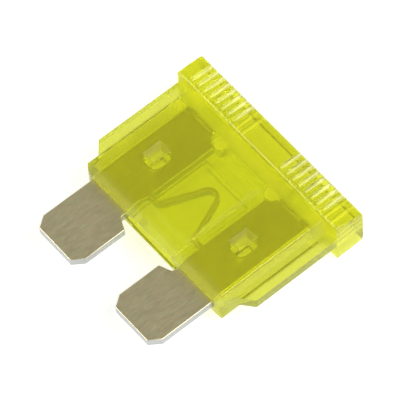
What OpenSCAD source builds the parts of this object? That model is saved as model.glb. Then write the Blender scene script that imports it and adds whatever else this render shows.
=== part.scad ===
// Plug-in automotive blade fuse with flat tin-coloured blades in a clear moulded housing.
// It lies on its back: X is the width, +Y points from the blade tips to the head,
// +Z is the normal of the front face. The origin is the centre of the base of its envelope.
// Inside the modules y = 0 is the top of the head and z = 0 is the middle of the blades.

/* [Head] */
// Width of the head
head_width = 19.1; // [18.9:0.05:20.5]
// Height of the head, along the blades
head_height = 2.6; // [2.3:0.05:3]
// Thickness of the head at its lower edge
head_depth = 4.6; // [4.2:0.05:5]
// Thickness of the head at its top
head_top_depth = 3.8; // [3.6:0.05:4.2]
// Rounding of the edges of the head
head_round = 0.35; // [0.1:0.05:0.5]

/* [Grip grooves] */
// Grooves in each of the two groups on a face
groove_count = 8; // [4:1:8]
// Distance from one groove to the next
groove_pitch = 0.71; // [0.6:0.01:0.76]
// Width of a groove, which has a round floor
groove_width = 0.42; // [0.3:0.02:0.5]
// Depth of a groove at the top of the head
groove_depth = 0.22; // [0.1:0.02:0.3]
// Distance from the middle of the pattern to the first groove
groove_first = 2.85; // [2.4:0.05:3]
// Offset of the whole pattern towards -X
groove_offset = 0.4; // [0:0.05:0.5]
// Plain border of the head below the grooves
groove_border = 0.35; // [0.2:0.05:0.6]

/* [Body] */
// Length from the top of the head to the bottom of the housing
body_length = 13.15; // [12.6:0.05:13.5]
// Thickness of the body
body_depth = 3.4; // [3.2:0.05:3.6]
// Width of the flat front of the body
body_width = 15.8; // [15.6:0.05:16.2]
// Width of the body where the side flanges start
root_width = 17; // [16.7:0.05:17.4]
// Amount by which the body gets narrower on each side at its lower end
body_taper = 0.35; // [0:0.05:0.4]
// Height of the sloped edge round the lower end
lead_height = 0.4; // [0.2:0.05:0.6]
// Depth of that sloped edge, measured into the thickness
lead_depth = 0.75; // [0.4:0.05:0.9]
// Rounding of the edges of the body
body_round = 0.22; // [0.1:0.02:0.3]
// Rounding of the two lower corners of the body, seen from the front
corner_round = 0.75; // [0.3:0.05:0.9]

/* [Side flanges] */
// Width over both side flanges
flange_width = 19.05; // [18.2:0.05:19.1]
// Thickness of a side flange
flange_thickness = 1.0; // [0.6:0.05:1.1]
// Distance of a flange's middle in front of the middle of the blades
flange_lift = 0.2; // [-0.3:0.05:0.3]
// Distance from the top of the head to the lower end of a flange at its outer edge
flange_end = 10.65; // [9.5:0.05:11]
// Slope of the lower end of a flange
flange_end_angle = 40; // [20:1:50]

/* [Window] */
// Width of the recessed window over the fuse link
window_width = 4.5; // [4:0.05:4.8]
// Width of the sloped border of the window
window_border = 0.65; // [0.4:0.05:0.8]
// Depth of the window below the body's face
window_depth = 0.2; // [0.1:0.02:0.3]
// Distance from the top of the head to the top of the window
window_top = 4.2; // [3.6:0.05:4.6]
// Distance from the top of the head to the bottom of the window
window_bottom = 12.1; // [11.6:0.05:12.3]

/* [Chamber] */
// Width of the hollow round the fuse link
chamber_width = 4.9; // [4.4:0.05:5.2]
// Thickness of the hollow round the fuse link
chamber_depth = 1.6; // [1.3:0.05:1.8]
// Distance from the top of the head to the top of the hollow
chamber_top = 5.6; // [5.2:0.05:6]
// Gap between metal and plastic all round
clearance = 0.06; // [0.04:0.01:0.1]

/* [Test points] */
// Width of the opening in the head above each blade plate
probe_width = 2.4; // [1.6:0.05:3]
// Thickness of that opening
probe_depth = 1.3; // [1.1:0.05:1.6]

/* [Blades] */
// Width of a blade
blade_width = 5.2; // [5:0.05:5.4]
// Thickness of the sheet that the blades and the link are stamped from
sheet_thickness = 0.8; // [0.6:0.02:0.9]
// Distance between the centre lines of the two blades
blade_pitch = 9.3; // [9.2:0.02:9.4]
// Length of a blade below the housing
blade_reach = 5.85; // [5.4:0.05:6.2]
// Width of the cut corners at a blade's tip
tip_width = 0.68; // [0.4:0.02:1]
// Height of the cut corners at a blade's tip
tip_height = 0.95; // [0.5:0.05:1.4]

/* [Plates] */
// Width of the plate that a blade ends in inside the housing
plate_width = 4.1; // [3.9:0.05:4.2]
// Distance from the top of the head to the top of a plate
plate_top = 3.3; // [3.1:0.05:3.5]
// Length of the plate's inner edge that shows below the housing
shoulder_drop = 0.55; // [0.3:0.05:0.7]
// Height of the sloped shoulder between plate and blade
shoulder_height = 0.45; // [0.3:0.05:0.6]
// Width of the stake hole in a plate
hole_width = 1.7; // [1.5:0.05:1.9]
// Height of the stake hole in a plate
hole_height = 2.1; // [1.8:0.05:2.4]
// Rounding of the corners of the stake hole
hole_round = 0.55; // [0.3:0.05:0.7]
// Distance from the top of the head to the middle of the stake hole
hole_drop = 8.3; // [8:0.05:8.6]
// Radius of the post beside the upper inner corner of each plate
post_radius = 0.8; // [0.6:0.05:0.9]
// Distance from the middle of the housing to a post
post_offset = 3.1; // [3:0.05:3.2]
// Distance from the top of the head to a post
post_drop = 3.5; // [3.4:0.05:3.6]

/* [Stakes] */
// Width of the dent that the staking punch leaves, at the face
dent_width = 1.25; // [0.9:0.05:1.4]
// Height of the dent, at the face
dent_height = 1.75; // [1.4:0.05:1.9]
// Width of the floor of the dent
dent_floor_width = 0.3; // [0.2:0.05:0.5]
// Height of the floor of the dent
dent_floor_height = 1.1; // [0.8:0.05:1.3]
// Depth of the dent
dent_depth = 0.6; // [0.4:0.05:0.7]

/* [Fuse link] */
// Width of the link
link_width = 0.32; // [0.24:0.02:0.5]
// Distance from the top of the head to the crest of the link's centre line
link_crest = 6.75; // [6.4:0.05:7]
// Distance from the top of the head to the feet of the link's centre line
link_foot = 10.75; // [10.4:0.05:11]
// Radius of the link's centre line at the crest
crest_radius = 0.72; // [0.5:0.02:0.9]
// Radius of the link's centre line at the feet
foot_radius = 0.7; // [0.5:0.05:0.9]
// Lean of the legs of the link from the blades' direction
leg_lean = 22; // [16:1:24]

/* [Hidden] */
$fn = 48;
arc_steps = 3;
groove_steps = 12;
body_side = body_width / 2;
root_side = root_width / 2;
flange_side = flange_width / 2;
head_side = head_width / 2;
total_length = body_length + blade_reach;
blade_middle = blade_pitch / 2;
blade_inner = blade_middle - blade_width / 2;
blade_outer = blade_middle + blade_width / 2;
plate_inner = blade_outer - plate_width;
plate_middle = blade_outer - plate_width / 2;
link_depth = sheet_thickness;
slot_depth = sheet_thickness + 2 * clearance;
slot_side = blade_outer + clearance;
slot_top = plate_top - clearance;
hole_clearance = clearance;
// Height of the middle of a groove's round floor
groove_axis = head_top_depth / 2 - groove_depth + groove_width / 2;
// Height of the blades' middle at rest: half the head's thickness, less what its rounded lower edge takes off
face_angle = atan((head_depth - head_top_depth) / 2 / head_height);
edge_reach = head_round / 2 / tan(45 - face_angle / 2);
rest_height = head_depth / 2 - edge_reach * sin(face_angle);

function unit(v) = v / norm(v);

// Arc of radius corner[2] that rounds the corner between the points before and after it
function corner_arc(before, corner, after) =
    let (
        b = [corner[0], corner[1]],
        u = unit([before[0], before[1]] - b),
        w = unit([after[0], after[1]] - b),
        half = acos(u * w) / 2,
        centre = b + unit(u + w) * corner[2] / sin(half),
        from = b + u * corner[2] / tan(half) - centre,
        to = b + w * corner[2] / tan(half) - centre,
        start = atan2(from[1], from[0]),
        sweep = (atan2(to[1], to[0]) - start + 540) % 360 - 180
    )
    [for (i = [0:arc_steps])
        centre + corner[2] * [cos(start + sweep * i / arc_steps), sin(start + sweep * i / arc_steps)]];

// Closed outline through corners given as [x, y, radius]
function rounded(corners) =
    let (n = len(corners))
    [for (i = [0:n - 1])
        for (p = corners[i][2] > 0
                ? corner_arc(corners[(i + n - 1) % n], corners[i], corners[(i + 1) % n])
                : [[corners[i][0], corners[i][1]]])
            p];

// A half outline with x above 0, followed by its mirror image; points with x = 0 come once
function both_sides(half) =
    concat(half, [for (i = [len(half) - 1:-1:0]) if (half[i][0] > 0)
        [-half[i][0], half[i][1], half[i][2]]]);

// Rectangle with rounded corners, centred on [x, y]
function round_box(x, y, width, height, radius) =
    [for (s = [[1, 1], [-1, 1], [-1, -1], [1, -1]])
        [x + s[0] * width / 2, y + s[1] * height / 2, radius]];

// Extrudes an outline drawn in x and z along y, from one distance below the head's top to another
module along_y(from, to) {
    translate([0, -from, 0]) rotate([90, 0, 0]) linear_extrude(to - from) children();
}

// Extrudes an outline drawn in y and z along x, centred
module along_x(width) {
    rotate([90, 0, 90]) linear_extrude(width, center = true) children();
}

// Extrudes an outline drawn in x and y along z, centred
module along_z(depth) {
    linear_extrude(depth, center = true) children();
}

// The wedge-shaped hollow between two sloped pairs of walls, from z = floor up to z = face
module sloped_pocket(x, y, width, height, floor_width, floor_height, floor, face) {
    over = 0.3;
    grow_x = (width - floor_width) / (face - floor) * over;
    grow_y = (height - floor_height) / (face - floor) * over;
    translate([x, y, 0]) intersection() {
        rotate([90, 0, 0]) linear_extrude(height + grow_y, center = true)
            polygon([
                [-floor_width / 2, floor], [floor_width / 2, floor],
                [(width + grow_x) / 2, face + over], [-(width + grow_x) / 2, face + over]
            ]);
        along_x(width + grow_x)
            polygon([
                [-floor_height / 2, floor], [floor_height / 2, floor],
                [(height + grow_y) / 2, face + over], [-(height + grow_y) / 2, face + over]
            ]);
    }
}

// Bar across the top, thinner at its top than at its lower edge
module head_bar() {
    intersection() {
        along_y(0, head_height)
            polygon(rounded(round_box(0, 0, head_width, head_depth, head_round)));
        along_x(head_width)
            polygon(rounded([
                [0, head_top_depth / 2, head_round],
                [0, -head_top_depth / 2, head_round],
                [-head_height, -head_depth / 2, head_round / 2],
                [-head_height, head_depth / 2, head_round / 2]
            ]));
    }
}

// Level grip grooves in the sloped front face of the head, open at its top and round at their floor
module grip_grooves() {
    for (side = [-1, 1], i = [0:groove_count - 1])
        translate([side * (groove_first + i * groove_pitch) - groove_offset, 0, 0])
            along_y(-1, head_height - groove_border)
                polygon(concat(
                    [for (a = [180:180 / groove_steps:360])
                        [groove_width / 2 * cos(a), groove_axis + groove_width / 2 * sin(a)]],
                    [[groove_width / 2, head_depth], [-groove_width / 2, head_depth]]
                ));
}

// Body below the head: one block with sloped sides and a sloped edge round its lower end
module body_block() {
    top = head_height / 2;
    lead_start = body_length - lead_height;
    intersection() {
        along_y(top, body_length)
            polygon(rounded(both_sides([
                [body_side, -body_depth / 2, body_round],
                [root_side, flange_lift - flange_thickness / 2, 0],
                [root_side, flange_lift + flange_thickness / 2, 0],
                [body_side, body_depth / 2, body_round]
            ])));
        along_x(root_width)
            polygon(rounded([
                [-top, body_depth / 2, 0],
                [-top, -body_depth / 2, 0],
                [-lead_start, -body_depth / 2, body_round],
                [-body_length, -body_depth / 2 + lead_depth, body_round],
                [-body_length, body_depth / 2 - lead_depth, body_round],
                [-lead_start, body_depth / 2, body_round]
            ]));
        along_z(body_depth)
            polygon(rounded(both_sides([
                [root_side, -top, 0],
                [root_side, -flange_end, 0],
                [root_side - body_taper, -body_length, corner_round]
            ])));
    }
}

// Thin flanges at mid-thickness, one on each side of the body
module side_flanges() {
    slope_drop = (flange_side - root_side + body_taper) * tan(flange_end_angle);
    translate([0, 0, flange_lift]) along_z(flange_thickness)
        polygon(rounded(both_sides([
            [flange_side, -head_height / 2, 0],
            [flange_side, -flange_end, body_round],
            [root_side - body_taper, -flange_end - slope_drop, 0]
        ])));
}

// Slot for the stamped metal, open at the lower end, with the hollow for the fuse link
module metal_slot() {
    over = 1;
    along_y(slot_top, body_length + over) square([2 * slot_side, slot_depth], center = true);
    along_y(chamber_top, body_length + over)
        polygon(rounded(round_box(0, 0, chamber_width, chamber_depth, body_round)));
}

// Openings in the top of the head, through which a probe reaches the tops of the plates
module test_openings() {
    over = 1;
    for (side = [-1, 1])
        along_y(-over, slot_top + slot_depth / 2)
            polygon(rounded(round_box(side * plate_middle, 0, probe_width, probe_depth, body_round)));
}

// Plastic that crosses the slot: the stakes in the plates' holes, and the posts beside their corners
module crossings() {
    for (side = [-1, 1]) {
        along_z(slot_depth + body_round)
            polygon(rounded(round_box(
                side * plate_middle, -hole_drop,
                hole_width - 2 * hole_clearance, hole_height - 2 * hole_clearance,
                hole_round - hole_clearance
            )));
        translate([side * post_offset, -post_drop, 0])
            cylinder(h = slot_depth + body_round, r = post_radius, center = true);
    }
}

// Recesses in the front face: the window over the link and the dents of the two stakes
module face_recesses() {
    face = body_depth / 2;
    sloped_pocket(
        0, -(window_top + window_bottom) / 2,
        window_width + 2 * window_border, window_bottom - window_top,
        window_width, window_bottom - window_top - 2 * window_border,
        face - window_depth, face
    );
    for (side = [-1, 1])
        sloped_pocket(
            side * plate_middle, -hole_drop, dent_width, dent_height,
            dent_floor_width, dent_floor_height, face - dent_depth, face
        );
}

// One moulded piece: grooved head, body, side flanges and stakes
module housing_form() {
    difference() {
        union() {
            head_bar();
            body_block();
            side_flanges();
        }
        difference() {
            union() {
                metal_slot();
                test_openings();
            }
            crossings();
        }
        face_recesses();
        mirror([0, 0, 1]) face_recesses();
        grip_grooves();
        mirror([0, 0, 1]) grip_grooves();
    }
}

// Centre line of the link's +X half, from its crest to its plate, as [x, y, direction of its normal]
function link_half() =
    let (
        crest = [0, -link_crest - crest_radius],
        joint = crest + crest_radius * [cos(leg_lean), sin(leg_lean)],
        drop = (joint[1] + foot_radius * sin(leg_lean) + link_foot - foot_radius) / cos(leg_lean),
        foot = joint + drop * [sin(leg_lean), -cos(leg_lean)]
            + foot_radius * [cos(leg_lean), sin(leg_lean)],
        turn = 90 - leg_lean
    )
    concat(
        [for (i = [0:arc_steps])
            let (a = 90 - turn * i / arc_steps)
            [crest[0] + crest_radius * cos(a), crest[1] + crest_radius * sin(a), a]],
        [for (i = [0:arc_steps])
            let (a = leg_lean + turn * i / arc_steps)
            [foot[0] - foot_radius * cos(a), foot[1] - foot_radius * sin(a), a]],
        [[plate_inner, -link_foot, 90]]
    );

// One edge of the link's +X half: its centre line moved sideways by part of its width
function link_edge(by) =
    [for (p = link_half()) [p[0] + by * cos(p[2]), p[1] + by * sin(p[2]), 0]];

// Outline of the +X half of the stamping, from the top of the link's crest round to its underside
function stamping_half() =
    let (shoulder = body_length + shoulder_drop, lower = link_edge(-link_width / 2))
    concat(
        link_edge(link_width / 2),
        [
            [plate_inner, -plate_top, 0],
            [blade_outer, -plate_top, 0],
            [blade_outer, -total_length + tip_height, 0],
            [blade_outer - tip_width, -total_length, 0],
            [blade_inner + tip_width, -total_length, 0],
            [blade_inner, -total_length + tip_height, 0],
            [blade_inner, -shoulder - shoulder_height, 0],
            [plate_inner, -shoulder, shoulder_height / 2]
        ],
        [for (i = [len(lower) - 1:-1:0]) lower[i]]
    );

// One stamping: two blades with their plates, joined by the link
module stamping_form() {
    difference() {
        along_z(sheet_thickness) polygon(rounded(both_sides(stamping_half())));
        for (side = [-1, 1]) {
            along_z(2 * sheet_thickness)
                polygon(rounded(round_box(
                    side * plate_middle, -hole_drop, hole_width, hole_height, hole_round
                )));
            translate([side * post_offset, -post_drop, 0])
                cylinder(h = 2 * sheet_thickness, r = post_radius + clearance, center = true);
        }
    }
}

// Puts the part on its back, centred over the origin
module at_rest() {
    translate([0, total_length / 2, rest_height]) children();
}

module housing() {
    color([0.80, 0.82, 0.12, 0.7]) at_rest() housing_form();
}

module fuse_element() {
    color([0.62, 0.60, 0.50]) at_rest() stamping_form();
}

housing();
fuse_element();
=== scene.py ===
import functools
from math import radians

import bmesh
import bpy
from mathutils import Matrix, Vector


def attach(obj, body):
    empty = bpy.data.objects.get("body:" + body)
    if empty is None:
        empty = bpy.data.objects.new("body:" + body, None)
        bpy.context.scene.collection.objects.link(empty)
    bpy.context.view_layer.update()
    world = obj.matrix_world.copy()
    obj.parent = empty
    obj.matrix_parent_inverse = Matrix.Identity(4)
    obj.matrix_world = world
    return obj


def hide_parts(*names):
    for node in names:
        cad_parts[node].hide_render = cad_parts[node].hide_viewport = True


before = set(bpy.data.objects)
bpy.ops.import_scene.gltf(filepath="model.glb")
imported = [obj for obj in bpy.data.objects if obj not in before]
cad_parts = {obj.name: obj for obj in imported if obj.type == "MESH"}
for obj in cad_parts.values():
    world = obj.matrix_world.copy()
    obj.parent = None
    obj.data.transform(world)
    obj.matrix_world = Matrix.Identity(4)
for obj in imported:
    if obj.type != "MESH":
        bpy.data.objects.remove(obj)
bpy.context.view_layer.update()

scene = bpy.context.scene

# Camera
# A long lens looks down on the front face from beyond the +X blade, with the blades towards it.
# The small roll levels the picture for a fuse that leans back a little, as it does on a table.
mm = 0.001
camera_place = Vector((131.8, -91.8, 275.67)) * mm
camera_aim = Vector((-0.477, 1.546, 2.26)) * mm
camera_roll = radians(-5.27)
camera_data = bpy.data.cameras.new("camera")
camera_data.lens = 370.1
camera_data.sensor_width = 36.0
camera_data.clip_start = 0.01
camera_data.clip_end = 5.0
camera = bpy.data.objects.new("camera", camera_data)
scene.collection.objects.link(camera)
camera_turn = (camera_aim - camera_place).to_track_quat("-Z", "Y").to_matrix().to_4x4()
camera.matrix_world = (
    Matrix.Translation(camera_place) @ camera_turn @ Matrix.Rotation(camera_roll, 4, "Z")
)
scene.camera = camera
scene.view_settings.view_transform = "Standard"

# Floor
# A wide matt white sheet that the fuse lies on, with a faint uneven pulp.
# It glows from below, as the sheet of a light table does, so that the fuse stands on plain white.
floor_half = 3000 * mm
paper_glow = 1.10
paper_dark = (0.55, 0.55, 0.55, 1)
paper_light = (0.57, 0.57, 0.57, 1)
pulp_scale = 900
floor_mesh = bpy.data.meshes.new("floor")
floor_mesh.from_pydata(
    [(-floor_half, -floor_half, 0), (floor_half, -floor_half, 0),
     (floor_half, floor_half, 0), (-floor_half, floor_half, 0)],
    [], [(0, 1, 2, 3)],
)
floor = bpy.data.objects.new("floor", floor_mesh)
scene.collection.objects.link(floor)
paper = bpy.data.materials.new("white_paper")
paper.use_nodes = True
paper_nodes, paper_links = paper.node_tree.nodes, paper.node_tree.links
paper_bsdf = paper_nodes["Principled BSDF"]
paper_bsdf.inputs["Roughness"].default_value = 0.9
paper_bsdf.inputs["Specular IOR Level"].default_value = 0.2
paper_bsdf.inputs["Emission Strength"].default_value = paper_glow
paper_place = paper_nodes.new("ShaderNodeTexCoord")
paper_pulp = paper_nodes.new("ShaderNodeTexNoise")
paper_pulp.inputs["Scale"].default_value = pulp_scale
paper_pulp.inputs["Detail"].default_value = 3
paper_tone = paper_nodes.new("ShaderNodeValToRGB")
paper_tone.color_ramp.elements[0].color = paper_dark
paper_tone.color_ramp.elements[1].color = paper_light
paper_links.new(paper_place.outputs["Object"], paper_pulp.inputs["Vector"])
paper_links.new(paper_pulp.outputs["Fac"], paper_tone.inputs["Fac"])
paper_links.new(paper_tone.outputs["Color"], paper_bsdf.inputs["Base Color"])
paper_links.new(paper_tone.outputs["Color"], paper_bsdf.inputs["Emission Color"])
floor_mesh.materials.append(paper)

# Light
# A white tent, bright round its foot and dim at its top, so that the flat front faces mirror little.
# Three lamps stand in it: one where the grooves mirror it, one for the +X edges, one for the blades' tips.
# The tent's heights are sines of the elevation
tent_foot, tent_foot_tone = 0.45, (0.95, 0.95, 0.95, 1)
tent_top, tent_top_tone = 0.75, (0.20, 0.20, 0.20, 1)
lamps = {
    # name: (direction from the fuse, direction of the long side,
    #        distance in mm, long and short side in mm, watts)
    "groove_light": ((0.66, 0.29, 0.69), (0.72, 0.0, -0.69), 320, (270, 140), 0.70),
    "edge_light": ((0.90, 0.10, 0.42), (0.0, 1.0, 0.0), 300, (160, 80), 0.03),
    "tip_light": ((-0.41, -0.80, 0.38), (1.0, 0.0, 0.0), 340, (260, 90), 0.60),
}
world = bpy.data.worlds.new("studio")
scene.world = world
world.use_nodes = True
tent_nodes, tent_links = world.node_tree.nodes, world.node_tree.links
tent_way = tent_nodes.new("ShaderNodeTexCoord")
tent_height = tent_nodes.new("ShaderNodeSeparateXYZ")
tent_tone = tent_nodes.new("ShaderNodeValToRGB")
tent_tone.color_ramp.elements[0].position = tent_foot
tent_tone.color_ramp.elements[0].color = tent_foot_tone
tent_tone.color_ramp.elements[1].position = tent_top
tent_tone.color_ramp.elements[1].color = tent_top_tone
tent_links.new(tent_way.outputs["Generated"], tent_height.inputs["Vector"])
tent_links.new(tent_height.outputs["Z"], tent_tone.inputs["Fac"])
tent_links.new(tent_tone.outputs["Color"], tent_nodes["Background"].inputs["Color"])
for name, (place, along, distance, size, power) in lamps.items():
    data = bpy.data.lights.new(name, "AREA")
    data.shape = "RECTANGLE"
    data.size, data.size_y = size[0] * mm, size[1] * mm
    data.energy = power
    light = bpy.data.objects.new(name, data)
    back = Vector(place).normalized()
    short = back.cross(Vector(along)).normalized()
    turn = Matrix((short.cross(back), short, back)).transposed().to_4x4()
    light.matrix_world = Matrix.Translation(back * distance * mm) @ turn
    scene.collection.objects.link(light)

# Fuse element
# One stamping of plated zinc sheet: two blades, their plates, and the thin link that melts between them.
# The punch rolls its edges over, and the marks of the rolled strip run along the blades.
edge_roll = 0.08 * mm
weld_gap = 0.001 * mm
flat_angle = radians(1)
sharp_angle = radians(40)
bump_depth = 0.004 * mm
tone_dark = (0.67, 0.605, 0.365, 1)
tone_light = (0.82, 0.745, 0.46, 1)
haze_warm = (1.0, 0.90, 0.88, 1)
haze_cool = (0.93, 1.0, 0.95, 1)
sheared_tone = (0.50, 0.515, 0.50, 1)
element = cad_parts["fuse_element"]
shape = bmesh.new()
shape.from_mesh(element.data)
bmesh.ops.remove_doubles(shape, verts=shape.verts, dist=weld_gap)
bmesh.ops.dissolve_limit(
    shape, angle_limit=flat_angle, verts=shape.verts, edges=shape.edges, delimit=set()
)
stamping_mesh = bpy.data.meshes.new("stamped_element")
shape.to_mesh(stamping_mesh)
shape.free()
stamping_mesh.shade_smooth()
stamping = bpy.data.objects.new("stamped_element", stamping_mesh)
scene.collection.objects.link(stamping)
rolled_edge = stamping.modifiers.new("rolled_edge", "BEVEL")
rolled_edge.width = edge_roll
rolled_edge.segments = 3
rolled_edge.limit_method = "ANGLE"
rolled_edge.angle_limit = sharp_angle
flat_faces = stamping.modifiers.new("flat_faces", "WEIGHTED_NORMAL")
flat_faces.mode = "FACE_AREA"
flat_faces.weight = 100
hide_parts("fuse_element")
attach(stamping, "root")

# Fine marks that run along Y, in one group: noise with one scale along Y and another across it,
# then its distance from 0.5 times the contrast, plus 0.5
marks = bpy.data.node_groups.new("drawn_marks", "ShaderNodeTree")
marks.interface.new_socket("Vector", in_out="INPUT", socket_type="NodeSocketVector")
for socket in ("Across", "Along", "Contrast"):
    marks.interface.new_socket(socket, in_out="INPUT", socket_type="NodeSocketFloat")
marks.interface.new_socket("Marks", in_out="OUTPUT", socket_type="NodeSocketFloat")
marks_in = marks.nodes.new("NodeGroupInput")
marks_out = marks.nodes.new("NodeGroupOutput")
marks_scale = marks.nodes.new("ShaderNodeCombineXYZ")
marks_stretch = marks.nodes.new("ShaderNodeVectorMath")
marks_stretch.operation = "MULTIPLY"
marks_noise = marks.nodes.new("ShaderNodeTexNoise")
marks_noise.inputs["Scale"].default_value = 1.0
marks_noise.inputs["Detail"].default_value = 4
marks_noise.inputs["Roughness"].default_value = 0.6
marks_centre = marks.nodes.new("ShaderNodeMath")
marks_centre.operation = "SUBTRACT"
marks_centre.inputs[1].default_value = 0.5
marks_gain = marks.nodes.new("ShaderNodeMath")
marks_gain.operation = "MULTIPLY_ADD"
marks_gain.inputs[2].default_value = 0.5
marks_gain.use_clamp = True
for start, end in (
    (marks_in.outputs["Across"], marks_scale.inputs["X"]),
    (marks_in.outputs["Along"], marks_scale.inputs["Y"]),
    (marks_in.outputs["Across"], marks_scale.inputs["Z"]),
    (marks_in.outputs["Vector"], marks_stretch.inputs[0]),
    (marks_scale.outputs["Vector"], marks_stretch.inputs[1]),
    (marks_stretch.outputs["Vector"], marks_noise.inputs["Vector"]),
    (marks_noise.outputs["Fac"], marks_centre.inputs[0]),
    (marks_centre.outputs["Value"], marks_gain.inputs[0]),
    (marks_in.outputs["Contrast"], marks_gain.inputs[1]),
    (marks_gain.outputs["Value"], marks_out.inputs["Marks"]),
):
    marks.links.new(start, end)

plate = bpy.data.materials.new("plated_metal")
plate.use_nodes = True
plate_nodes, plate_links = plate.node_tree.nodes, plate.node_tree.links
plate_bsdf = plate_nodes["Principled BSDF"]
plate_bsdf.inputs["Metallic"].default_value = 0.9
plate_place = plate_nodes.new("ShaderNodeTexCoord")
plate_marks = plate_nodes.new("ShaderNodeGroup")
plate_marks.node_tree = marks
plate_marks.inputs["Across"].default_value = 5500
plate_marks.inputs["Along"].default_value = 1100
plate_marks.inputs["Contrast"].default_value = 1.6
plate_cloud = plate_nodes.new("ShaderNodeTexNoise")
plate_cloud.inputs["Scale"].default_value = 2600
plate_cloud.inputs["Detail"].default_value = 4
plate_tone = plate_nodes.new("ShaderNodeValToRGB")
plate_tone.color_ramp.elements[0].color = tone_dark
plate_tone.color_ramp.elements[1].color = tone_light
plate_haze = plate_nodes.new("ShaderNodeValToRGB")
plate_haze.color_ramp.elements[0].position = 0.35
plate_haze.color_ramp.elements[0].color = haze_warm
plate_haze.color_ramp.elements[1].position = 0.65
plate_haze.color_ramp.elements[1].color = haze_cool
plate_hazed = plate_nodes.new("ShaderNodeMix")
plate_hazed.data_type = "RGBA"
plate_hazed.blend_type = "MULTIPLY"
plate_hazed.inputs["Factor"].default_value = 0.7
# The sheared faces keep a brighter, cooler skin: found by how far a face turns from the front and back
plate_facing = plate_nodes.new("ShaderNodeSeparateXYZ")
plate_front = plate_nodes.new("ShaderNodeMath")
plate_front.operation = "ABSOLUTE"
plate_sheared = plate_nodes.new("ShaderNodeMapRange")
plate_sheared.inputs["From Min"].default_value = 0.9
plate_sheared.inputs["From Max"].default_value = 0.4
plate_edge = plate_nodes.new("ShaderNodeMix")
plate_edge.data_type = "RGBA"
plate_edge.inputs["B"].default_value = sheared_tone
plate_rough = plate_nodes.new("ShaderNodeMapRange")
plate_rough.inputs["To Min"].default_value = 0.36
plate_rough.inputs["To Max"].default_value = 0.48
plate_bump = plate_nodes.new("ShaderNodeBump")
plate_bump.inputs["Strength"].default_value = 0.12
plate_bump.inputs["Distance"].default_value = bump_depth
for start, end in (
    (plate_place.outputs["Object"], plate_marks.inputs["Vector"]),
    (plate_place.outputs["Object"], plate_cloud.inputs["Vector"]),
    (plate_marks.outputs["Marks"], plate_tone.inputs["Fac"]),
    (plate_cloud.outputs["Fac"], plate_haze.inputs["Fac"]),
    (plate_tone.outputs["Color"], plate_hazed.inputs["A"]),
    (plate_haze.outputs["Color"], plate_hazed.inputs["B"]),
    (plate_place.outputs["Normal"], plate_facing.inputs["Vector"]),
    (plate_facing.outputs["Z"], plate_front.inputs[0]),
    (plate_front.outputs["Value"], plate_sheared.inputs["Value"]),
    (plate_sheared.outputs["Result"], plate_edge.inputs["Factor"]),
    (plate_hazed.outputs["Result"], plate_edge.inputs["A"]),
    (plate_edge.outputs["Result"], plate_bsdf.inputs["Base Color"]),
    (plate_marks.outputs["Marks"], plate_rough.inputs["Value"]),
    (plate_rough.outputs["Result"], plate_bsdf.inputs["Roughness"]),
    (plate_marks.outputs["Marks"], plate_bump.inputs["Height"]),
    (plate_bump.outputs["Normal"], plate_bsdf.inputs["Normal"]),
):
    plate_links.new(start, end)
stamping_mesh.materials.append(plate)

# Housing
# One moulding of clear tinted plastic, with head, grip grooves, flanges, recessed windows and staked dents.
# It is a little cloudy inside, and its faces carry the fine marks of the polished tool.
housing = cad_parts["housing"]
plastic_dark = (0.77, 0.80, 0.080, 1)
plastic_light = (0.81, 0.84, 0.090, 1)
# The flank tone is painted shade on the flanges and steep sides
flank_shade_tone = (0.69, 0.72, 0.075, 1)
# The sheen tone is a painted whitish sheen: a painted highlight in the grooves, dents and flanks, and painted
# light on the slope
sheen_tone = (0.97, 0.98, 0.94, 1)
body_tone = (0.90, 0.895, 0.05, 1)
shadow_tone = (0.81, 0.81, 0.64, 1)
# The walls of the real moulding are thinner shells, which bend light less than this solid would at 1.58
wall_index, coat_index = 1.30, 1.6
flow_depth = 0.006 * mm
# Places on the moulding: fades are the widths over which a mask goes from 1 to 0
blades_middle = 2.269 * mm
groove_offset, groove_first, groove_pitch = 0.40 * mm, 2.85 * mm, 0.71 * mm
groove_half, groove_fade = 0.18 * mm, 0.06 * mm
row_middle, row_half, row_fade = 5.335 * mm, 2.72 * mm, 0.05 * mm
groove_foot, groove_foot_fade = 7.8 * mm, 0.6 * mm
groove_floor, groove_floor_fade = 1.64 * mm, 0.06 * mm
flank_start, flank_fade, flank_top, flank_top_fade = 7.96 * mm, 0.06 * mm, 6.85 * mm, 0.05 * mm
lower_slope, lower_slope_fade = -2.90 * mm, 0.2 * mm
dent_across, dent_along, dent_fade = 5.20 * mm, 1.20 * mm, 0.04 * mm
dent_half_width, dent_half_length, dent_floor = 0.64 * mm, 0.89 * mm, 1.02 * mm
corner_foot, corner_foot_fade = 5.80 * mm, 0.20 * mm
corner_top, corner_top_fade = 6.90 * mm, 0.05 * mm
# How much each place is painted whitish, as a painted highlight (on the slope painted light), and how much of
# the skin's dullness it has
flank_sheen, slope_sheen, dent_sheen = 0.14, 0.10, 0.16
dent_dull, corner_dull, dull_roughness = 0.75, 0.70, 0.50

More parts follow.
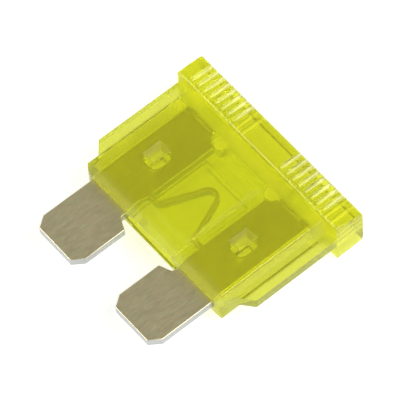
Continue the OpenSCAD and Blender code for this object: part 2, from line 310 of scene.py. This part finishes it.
plastic = bpy.data.materials.new("clear_plastic")
plastic.use_nodes = True
plastic_nodes, plastic_links = plastic.node_tree.nodes, plastic.node_tree.links
plastic_bsdf = plastic_nodes["Principled BSDF"]
plastic_bsdf.inputs["IOR"].default_value = wall_index
plastic_bsdf.inputs["Transmission Weight"].default_value = 0.86
plastic_bsdf.inputs["Coat Roughness"].default_value = 0.35
plastic_bsdf.inputs["Coat IOR"].default_value = coat_index
plastic_place = plastic_nodes.new("ShaderNodeTexCoord")
plastic_flow = plastic_nodes.new("ShaderNodeTexNoise")
plastic_flow.inputs["Scale"].default_value = 260
plastic_flow.inputs["Detail"].default_value = 2
plastic_tone = plastic_nodes.new("ShaderNodeValToRGB")
plastic_tone.color_ramp.elements[0].position = 0.3
plastic_tone.color_ramp.elements[0].color = plastic_dark
plastic_tone.color_ramp.elements[1].position = 0.7
plastic_tone.color_ramp.elements[1].color = plastic_light
plastic_marks = plastic_nodes.new("ShaderNodeGroup")
plastic_marks.node_tree = marks
plastic_marks.inputs["Across"].default_value = 3000
plastic_marks.inputs["Along"].default_value = 500
plastic_marks.inputs["Contrast"].default_value = 1.5
plastic_rough = plastic_nodes.new("ShaderNodeMapRange")
plastic_rough.inputs["To Min"].default_value = 0.13
plastic_rough.inputs["To Max"].default_value = 0.17
plastic_bump = plastic_nodes.new("ShaderNodeBump")
plastic_bump.inputs["Strength"].default_value = 0.2
plastic_bump.inputs["Distance"].default_value = flow_depth
plastic_spot = plastic_nodes.new("ShaderNodeSeparateXYZ")
plastic_links.new(plastic_place.outputs["Object"], plastic_spot.inputs["Vector"])
spot_x, spot_y, spot_z = (plastic_spot.outputs[axis] for axis in "XYZ")


def plastic_math(operation, *values):
    """One Math node: the operation on its values, each of them a socket or a number."""
    node = plastic_nodes.new("ShaderNodeMath")
    node.operation = operation
    for entry, value in zip(node.inputs, values):
        if isinstance(value, bpy.types.NodeSocket):
            plastic_links.new(value, entry)
        else:
            entry.default_value = value
    return node.outputs["Value"]


def plastic_fold(operation, *masks):
    """All masks taken together: the operation on the first two, then on that and the third, and so on."""
    return functools.reduce(lambda so_far, mask: plastic_math(operation, so_far, mask), masks)


def plastic_step(value, end, fade):
    """1 at end and 0 a fade before it: (value - (end - fade)) / fade, held between 0 and 1.

    With a fade below 0 it falls instead: 1 up to end, and 0 a fade beyond it.
    """
    node = plastic_nodes.new("ShaderNodeMapRange")
    node.inputs["From Min"].default_value = end - fade
    node.inputs["From Max"].default_value = end
    plastic_links.new(value, node.inputs["Value"])
    return node.outputs["Result"]


def plastic_gap(value, middle):
    """The distance from the middle: the size of value - middle."""
    return plastic_math("ABSOLUTE", plastic_math("SUBTRACT", value, middle))


# The grip grooves keep the finely eroded skin of the tool, duller than the polished faces, and are painted
# whitish as a painted highlight.
# They are found by their place: in each row by the distance from the nearest middle of a groove.
across = plastic_gap(spot_x, -groove_offset)
from_blades = plastic_gap(spot_z, blades_middle)
from_groove = plastic_math("PINGPONG", plastic_math("SUBTRACT", across, groove_first), groove_pitch / 2)
grooves = plastic_fold(
    "MULTIPLY",
    plastic_step(from_groove, groove_half, -groove_fade),
    plastic_step(plastic_gap(across, row_middle), row_half, -row_fade),
    plastic_step(spot_y, groove_foot, groove_foot_fade),
    plastic_step(from_blades, groove_floor, groove_floor_fade),
)
# The flanges and the steep sides, where the moulding drags along the tool as it leaves, are a little dull
# too, and their darker colour is painted shade
outward = plastic_math("ABSOLUTE", spot_x)
flanks = plastic_fold(
    "MULTIPLY",
    plastic_step(outward, flank_start, flank_fade),
    plastic_step(spot_y, flank_top, -flank_top_fade),
)
# The sloped lower end and the dents of the stakes keep a trace of the same skin, a little duller, and both
# are painted a little whitish: painted light on the slope, a painted highlight in the dents
slope = plastic_step(spot_y, lower_slope, -lower_slope_fade)
dents = plastic_fold(
    "MULTIPLY",
    plastic_step(plastic_gap(outward, dent_across), dent_half_width, -dent_fade),
    plastic_step(plastic_gap(spot_y, dent_along), dent_half_length, -dent_fade),
    plastic_step(from_blades, dent_floor, dent_fade),
)
# The corner under the head can't be polished as well as the open faces
corner = plastic_fold(
    "MULTIPLY",
    plastic_step(spot_y, corner_foot, corner_foot_fade),
    plastic_step(spot_y, corner_top, -corner_top_fade),
)
# Where the plastic is painted whitish, as painted highlight and painted light; the same mask also sets the
# skin's dullness
skin_and_sheen = plastic_fold(
    "MAXIMUM",
    grooves,
    plastic_math("MULTIPLY", flanks, flank_sheen),
    plastic_math("MULTIPLY", slope, slope_sheen),
    plastic_math("MULTIPLY", dents, dent_sheen),
)
dull = plastic_fold(
    "MAXIMUM",
    skin_and_sheen,
    plastic_math("MULTIPLY", corner, corner_dull),
    plastic_math("MULTIPLY", dents, dent_dull),
)
# Painted shade: the flanges and steep sides get the darker flank tone
plastic_flank_shade = plastic_nodes.new("ShaderNodeMix")
plastic_flank_shade.data_type = "RGBA"
plastic_flank_shade.inputs["B"].default_value = flank_shade_tone
# Mixes in the painted whitish sheen, a painted highlight
plastic_sheen = plastic_nodes.new("ShaderNodeMix")
plastic_sheen.data_type = "RGBA"
plastic_sheen.inputs["B"].default_value = sheen_tone
plastic_dull = plastic_nodes.new("ShaderNodeMix")
plastic_dull.inputs["B"].default_value = dull_roughness
# The lamps' rays pass the walls as through a tinted film, and the body soaks up the blue
lamp_rays = plastic_nodes.new("ShaderNodeLightPath")
lamp_tint = plastic_nodes.new("ShaderNodeBsdfTransparent")
lamp_tint.inputs["Color"].default_value = shadow_tone
lamp_mix = plastic_nodes.new("ShaderNodeMixShader")
plastic_body = plastic_nodes.new("ShaderNodeVolumeAbsorption")
plastic_body.inputs["Color"].default_value = body_tone
plastic_body.inputs["Density"].default_value = 650
plastic_out = plastic_nodes["Material Output"]
for start, end in (
    (plastic_place.outputs["Object"], plastic_flow.inputs["Vector"]),
    (plastic_flow.outputs["Fac"], plastic_tone.inputs["Fac"]),
    (flanks, plastic_flank_shade.inputs["Factor"]),
    (plastic_tone.outputs["Color"], plastic_flank_shade.inputs["A"]),
    (skin_and_sheen, plastic_sheen.inputs["Factor"]),
    (plastic_flank_shade.outputs["Result"], plastic_sheen.inputs["A"]),
    (plastic_sheen.outputs["Result"], plastic_bsdf.inputs["Base Color"]),
    (plastic_place.outputs["Object"], plastic_marks.inputs["Vector"]),
    (plastic_marks.outputs["Marks"], plastic_rough.inputs["Value"]),
    (dull, plastic_dull.inputs["Factor"]),
    (plastic_rough.outputs["Result"], plastic_dull.inputs["A"]),
    (plastic_dull.outputs["Result"], plastic_bsdf.inputs["Roughness"]),
    (grooves, plastic_bsdf.inputs["Coat Weight"]),
    (plastic_flow.outputs["Fac"], plastic_bump.inputs["Height"]),
    (plastic_bump.outputs["Normal"], plastic_bsdf.inputs["Normal"]),
    (lamp_rays.outputs["Is Shadow Ray"], lamp_mix.inputs[0]),
    (plastic_bsdf.outputs["BSDF"], lamp_mix.inputs[1]),
    (lamp_tint.outputs["BSDF"], lamp_mix.inputs[2]),
    (lamp_mix.outputs["Shader"], plastic_out.inputs["Surface"]),
    (plastic_body.outputs["Volume"], plastic_out.inputs["Volume"]),
):
    plastic_links.new(start, end)
housing.data.materials.clear()
housing.data.materials.append(plastic)
